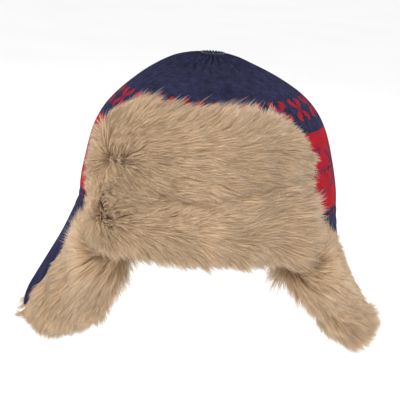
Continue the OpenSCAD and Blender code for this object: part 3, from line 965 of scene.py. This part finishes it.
def ear_section(ear, v):
    """Across an ear flap's fur at v: u and depth of its back and of its face, and where the fur
    starts, over the outside, round the front edge and over the inside."""
    wrap = ear.wrap[0] + (ear.wrap[1] - ear.wrap[0]) * np.minimum(1, v)
    share = np.linspace(0, 1, OUTER_COLUMNS)
    outer = wrap + (-1.04 - wrap) * share
    roll = 0.8 + 3.8 * np.sqrt(1 - (1 - 2.2 * share).clip(0, 1) ** 2)
    angle = np.radians(np.linspace(-90, 90, EDGE_COLUMNS + 2)[1:-1])
    middle, half = (EAR_FUR_DEEP - 0.8) / 2, (EAR_FUR_DEEP + 0.8) / 2
    rear_end = 1.0 + 0.14 * min(1.0, v * v)
    inner = np.linspace(-1.04, rear_end, INNER_COLUMNS)
    rear = np.sqrt(np.clip(1 - ((inner - 0.2) / (rear_end - 0.19)).clip(0, 1) ** 6, 0, 1))
    front_bulk_share = 1 - 0.45 * smooth(v, 0.2, 0.7)
    bulk = 0.8 + (4.8 + 6.4 * front_bulk_share + (4.0 - 6.4 * front_bulk_share)
                  * smooth(inner, -0.9, -0.1)) * rear
    swell = 4.4 + (bulk[0] - 4.4) * smooth(np.sin(angle), -1, 1)
    back_u = np.concatenate([outer, np.full(EDGE_COLUMNS, -1.05), inner])
    back_deep = np.concatenate([
        np.full(OUTER_COLUMNS, -0.6), middle + (half - 0.2) * np.sin(angle),
        np.full(INNER_COLUMNS, EAR_FUR_DEEP - 0.3)])
    face_u = np.concatenate([outer, -1.04 - EDGE_REACH * np.cos(angle), inner])
    face_deep = np.concatenate([
        -0.8 - roll, middle + (half + swell) * np.sin(angle), EAR_FUR_DEEP + bulk])
    start_v = np.concatenate([
        0.14 - 0.07 * smooth(outer, -0.9, -0.5), np.full(EDGE_COLUMNS, 0.14),
        0.14 - 0.10 * smooth(inner, -1.0, -0.7)])
    return back_u, back_deep, face_u, face_deep, start_v


def make_ear_undercoat(name, ear):
    """The fur's skin, its grid of points, and the points' values: share across, share along, and
    the two directions along the skin."""
    rows = 91
    share = np.linspace(0, 1, rows)
    end = 1 + (EAR_TIP_HANG - EAR_SKIN_INSET) / EAR_LENGTH
    face, back = [], []
    for w in share:
        about = 0.05 + (end - 0.05) * w
        back_u, back_deep, face_u, face_deep, start_v = ear_section(ear, about)
        tip = 1 + (EAR_TIP_HANG - 2 - 9 * np.clip(face_u, -1, 1) ** 2) / EAR_LENGTH
        v = start_v + (tip - start_v) * w
        ends = math.sqrt(max(0.0, 1 - abs(2 * w - 1) ** 9))
        face_deep = back_deep + (face_deep - back_deep) * (0.12 + 0.88 * ends)
        narrow = ear.outline(v)
        lumps = 0.7 * ends * pile_depth(ear.point(face_u * narrow, v, face_deep))
        face.append(ear.point(face_u * narrow, v, face_deep + lumps * np.sign(face_deep)))
        back.append(ear.point(back_u * narrow, v, back_deep))
    face, back = np.array(face), np.array(back)
    obj = ear.closed(name, face, back)
    columns = face.shape[1]
    across = np.broadcast_to(np.linspace(0, 1, columns), (rows, columns))[..., None]
    along = np.broadcast_to(share[:, None], (rows, columns))[..., None]
    to_rear = unit(np.gradient(face, axis=1))
    down = unit(np.gradient(face, axis=0))
    values = ear.ordered(np.concatenate([across, along, to_rear, down], -1))
    keep = np.arange(len(values)) < len(values) // 2
    return obj, keep, values


def make_ear_fur(label, ear):
    """An ear flap's fur. The left flap's lies forward on the outside, so that its knit shows
    along the rear edge; near the root the outside's hair turns up over the hem."""
    body = f"{label}_ear_flap"
    undercoat, keep, extra = make_ear_undercoat(f"{label}_fur_undercoat", ear)
    dress(undercoat, UNDERCOAT, body, (f"{label}_flap_fur",))
    at, normal, values = surface_samples(undercoat, extra, EAR_HAIRS, keep)
    across, along = values[:, 0], values[:, 1]
    to_rear, down = values[:, 2:5], values[:, 5:8]
    inside = smooth(across, FRONT_SHARE - 0.02, FRONT_SHARE + 0.08)
    rearward = (1.1 if ear.side < 0 else 1.5) + 0.9 * smooth(along, 0.55, 0.95)
    sideways = -0.9 + rearward * smooth(across, FRONT_SHARE + 0.1, 1.0)
    outside = -0.75 if ear.side > 0 else -0.8 + 1.1 * smooth(along, 0.5, 0.95)
    sideways = sideways * inside + (1 - inside) * outside
    fall = 1 - (1 - inside) * 2.3 * (1 - smooth(along, 0.0, 0.26))
    flow = fall[:, None] * down + (sideways + 0.25 * pile_lean(at))[:, None] * to_rear
    flow = onto(flow, normal)
    edge = smooth(across, FRONT_SHARE - 0.2, FRONT_SHARE - 0.1)
    edge = edge * (1 - smooth(across, FRONT_SHARE + 0.1, FRONT_SHARE + 0.3))
    near_root = 1 - smooth(along, 0.1, 0.55)
    length = EAR_HAIR_LENGTH + 7.0 * (1 - inside) * (1 - smooth(along, 0.05, 0.2))
    length += 12.0 * edge * near_root
    length *= 1 - 0.35 * smooth(across, 0.9, 1.0) * (1 - smooth(along, 0.6, 0.9))
    length *= 1 - 0.30 * (1 - inside) * (1 - smooth(across, 0.02, 0.12))
    length *= 1 - 0.20 * smooth(along, 0.8, 0.95)
    rise = 0.44 - 0.14 * (1 - inside) + 0.35 * edge * near_root
    rise += 0.35 * smooth(across, 0.88, 1.0)
    droop = np.full(EAR_HAIRS, 0.12)
    names = [f"{label}_fur_{k + 1}" for k in range(2)]
    make_fur(names, at, normal, flow, length, rise, droop, body, EAR_PAINTED_LIGHT)


# ---------- Flap cloth ----------

def stitch_map(obj, values):
    """Stitch coordinates, wales across and courses along, one pair for each point."""
    layer = obj.data.uv_layers.new(name="stitches")
    corner = np.empty(len(obj.data.loops), np.int32)
    obj.data.loops.foreach_get("vertex_index", corner)
    layer.data.foreach_set("uv", values[corner].ravel())


EAR_WALES = 56
EAR_COURSES = 64
EAR_PADDING_INSET = 3.2


def make_ear_cloth(label, ear):
    """An ear flap's knit, turned in round its edges to the fur, and the wadding inside it."""
    body = f"{label}_ear_flap"
    columns = 2 * EAR_WALES + 1
    u, v = grid(columns, 2 * EAR_COURSES + 1)
    across = u * ear.outline(v)
    odd = np.arange(columns)[None] % 2
    puff = 1.3 * np.clip(1 - u ** 4, 0, 1) * np.clip(1 - (2 * v - 1) ** 6, 0, 1)
    outer = ear.point(across, v, -puff - RIB * (odd - 0.5))
    turned_in = np.maximum(smooth(np.abs(u), 0.925, 0.965), smooth(v, 0.972, 0.99))
    inner_deep = KNIT - 0.2 - 0.3 * puff
    inner = ear.point(across, v, inner_deep + (EAR_FUR_DEEP - 0.4 - inner_deep) * turned_in)
    knit = ear.closed(f"{label}_flap_knit", inner, outer)
    stitch_map(knit, ear.ordered(np.stack([u * EAR_WALES / 2, -v * EAR_COURSES], -1)))
    dress(knit, FLAP_KNIT, body, (f"{label}_flap_shell",))

    u, v = grid(41, 41)
    across = u * (1 - EAR_PADDING_INSET / EAR_TIP_HALF) * ear.outline(v)
    along = (EAR_PADDING_INSET + (EAR_LENGTH - 2 * EAR_PADDING_INSET) * v) / EAR_LENGTH
    lumps = 0.2 * wadding_lumps(ear.point(across, along, 0 * u))
    inner = ear.point(across, along, KNIT + EAR_WADDING - 0.2 + lumps)
    outer = ear.point(across, along, KNIT + 0.5 + lumps)
    wadding = ear.closed(f"{label}_flap_padding", inner, outer)
    dress(wadding, WADDING, body, (f"{label}_flap_wadding",))


ROOT_ROWS_CROWN = ((4.2, 0.25), (3.0, 0.55), (1.5, 0.65), (0.2, 0.6))
ROOT_ROWS_FLAP = ((0.005, -0.7), (0.025, -0.9), (0.05, -1.1), (0.075, -1.15), (0.10, -0.7))


def make_ear_root(label, ear):
    """The knit that runs on from the crown's hem into the flap, and bends where the flap folds."""
    columns = 2 * EAR_WALES + 1
    u = np.linspace(-1, 1, columns)
    turn = np.mean(EAR_ANGLES) + u * (EAR_ANGLES[1] - EAR_ANGLES[0]) / 2
    odd = np.arange(columns) % 2
    mirror = np.array([ear.side, 1, 1])
    lean = np.array([SLUMP, 0, 0])
    outer, inner, courses = [], [], []
    for z, off in ROOT_ROWS_CROWN:
        rise = rise_at(z)
        at = dome(turn, rise, off + RIB * (odd - 0.5)) + lean * np.sin(np.radians(rise)) ** 2
        outer.append(at * mirror)
        inner.append((dome(turn, rise, off - 0.7) + lean * np.sin(np.radians(rise)) ** 2) * mirror)
        courses.append(z / COURSE_HEIGHT)
    for v, deep in ROOT_ROWS_FLAP:
        at = np.full(columns, v)
        outer.append(ear.point(u, at, deep - RIB * (odd - 0.5)))
        inner.append(ear.point(u, at, deep + 0.7 + 0 * u))
        courses.append(-v * EAR_COURSES)
    outer, inner = np.array(outer), np.array(inner)
    piece = ear.closed(f"{label}_root_knit", inner, outer)
    places = np.stack(np.broadcast_arrays(u * EAR_WALES / 2, np.array(courses)[:, None]), -1)
    stitch_map(piece, ear.ordered(places))
    dress(piece, FLAP_KNIT, None)
    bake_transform(piece)


def make_front_cloth():
    """The front flap's backing, turned in round its edges to the fur, and its stiffener."""
    u, v = grid(91, 61)
    x = u * FRONT_HALF * rounded(v, 0.62, 1.06)
    rise = 0.5 + (FRONT_HIGH - 0.5) * v
    ripple = 0.25 * dents(np.stack([x * 2, rise * 3, 0 * x], -1))
    turned_in = np.maximum(smooth(np.abs(u), 0.955, 0.98), smooth(v, 0.955, 0.98))
    off = FRONT_GAP + BACKING - 0.2 + ripple
    face = front_point(x, rise, off + (FRONT_FUR_OFF - 0.5 - off) * turned_in)
    back = front_point(x, rise, FRONT_GAP + 0.3 + ripple)
    backing = closed_sheet("front_flap_cloth", face, back)
    dress(backing, BACKING_CLOTH, "front_flap", ("front_flap_backing",))
    x = 0.945 * x
    rise = 0.5 + 0.94 * (rise - 0.5)
    face = front_point(x, rise, FRONT_GAP + BACKING + 2.2 + 0.5 * ripple)
    back = front_point(x, rise, FRONT_GAP + BACKING + 0.3 + ripple)
    stiffener = closed_sheet("front_flap_stiffener", face, back)
    dress(stiffener, FELT, "front_flap", ("front_flap_interlining",))


# ---------- Threads and label ----------

def thread_mesh(name, path, radius, closed):
    """A round thread along a path."""
    if closed:
        along = unit(np.roll(path, -1, 0) - np.roll(path, 1, 0))
    else:
        along = unit(np.gradient(path, axis=0))
    side = unit(np.cross(along, [0, 0, 1.0]))
    up = np.cross(side, along)
    turn = np.radians(np.arange(8) * 45)[None, :, None]
    rings = path[:, None] + radius * (np.cos(turn) * side[:, None] + np.sin(turn) * up[:, None])
    count = len(path)
    quads = sheet_faces(count, 8, wrap=True)
    if closed:
        j = np.arange(8)
        after = (j + 1) % 8
        last = (count - 1) * 8
        quads = np.concatenate([quads, np.stack([last + j, last + after, after, j], -1)])
        return make_mesh(name, rings.reshape(-1, 3), quads[:, ::-1])
    tris = [[0, k + 1, k] for k in range(1, 7)]
    base = (count - 1) * 8
    tris += [[base, base + k, base + k + 1] for k in range(1, 7)]
    return make_mesh(name, rings.reshape(-1, 3), quads[:, ::-1], np.array(tris)[:, ::-1])


def running_stitches(count, share=0.62):
    """Share of the thread that shows at each of many steps round: long above, short below."""
    steps = np.arange(count * 12)
    phase = (steps / 12.0) % 1
    return smooth(np.sin(math.pi * np.clip(phase / share, 0, 1)), 0.0, 0.6)


def make_threads():
    """The gather at the top, the seam that holds the lining, and the front flap's fold seam."""
    shown = running_stitches(24)
    turn = np.arange(len(shown)) * 360.0 / len(shown)
    rise = np.degrees(np.arccos(9.0 / HALF_WIDTH))
    path = dome(turn, rise, -1.0 + 2.4 * shown)
    dress(thread_mesh("gather_stitches", path, 0.55, True), THREAD, "crown",
          ("crown_gather_thread",))
    shown = running_stitches(110)
    turn = np.arange(len(shown)) * 360.0 / len(shown)
    off = -WALL - 0.7
    path = dome(turn, rise_at(9.0, off), off + 0.9 * (1 - shown))
    dress(thread_mesh("lining_stitches", path, 0.45, True), THREAD, "crown",
          ("lining_seam_thread",))
    shown = running_stitches(40)
    x = np.linspace(-FRONT_HALF + 4, FRONT_HALF - 4, len(shown))
    path = front_point(x, np.full(len(x), 1.0), FRONT_GAP - 0.8 + 0.5 * shown)
    dress(thread_mesh("front_fold_stitches", path, 0.45, False), THREAD, "front_flap",
          ("front_flap_seam_thread",))


def make_label():
    """A blank folded label, sewn along its top edge."""
    low, high = (np.array(corner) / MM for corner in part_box("care_label"))
    u, v = grid(41, 31)
    x = (low[0] + high[0]) / 2 + u * (high[0] - low[0]) / 2
    z = low[2] + 0.3 + (high[2] - low[2] - 0.6) * v
    middle = (low[1] + high[1]) / 2
    lean = (low[1] - high[1] + 1.2) * (v - 0.5)
    curl_out = 0.35 * (1 - v) * np.cos(u * 2.2)
    y = middle + lean - curl_out
    face = np.stack([x, y - 0.38, z], -1)
    back = np.stack([x, y + 0.38, z], -1)
    label = closed_sheet("blank_label", face, back)
    dress(label, LABEL_TAPE, "crown", ("care_label",))


# ---------- Build ----------

add_camera()
add_stage()
make_crown_knit()
make_crown_inside()
make_threads()
make_label()
make_front_cloth()
make_front_fur()
for label, facts in EARS.items():
    ear = Ear(**facts)
    make_ear_cloth(label, ear)
    make_ear_root(label, ear)
    make_ear_fur(label, ear)
    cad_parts[f"{label}_flap_seam_thread"].data.materials.clear()
    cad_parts[f"{label}_flap_seam_thread"].data.materials.append(THREAD)
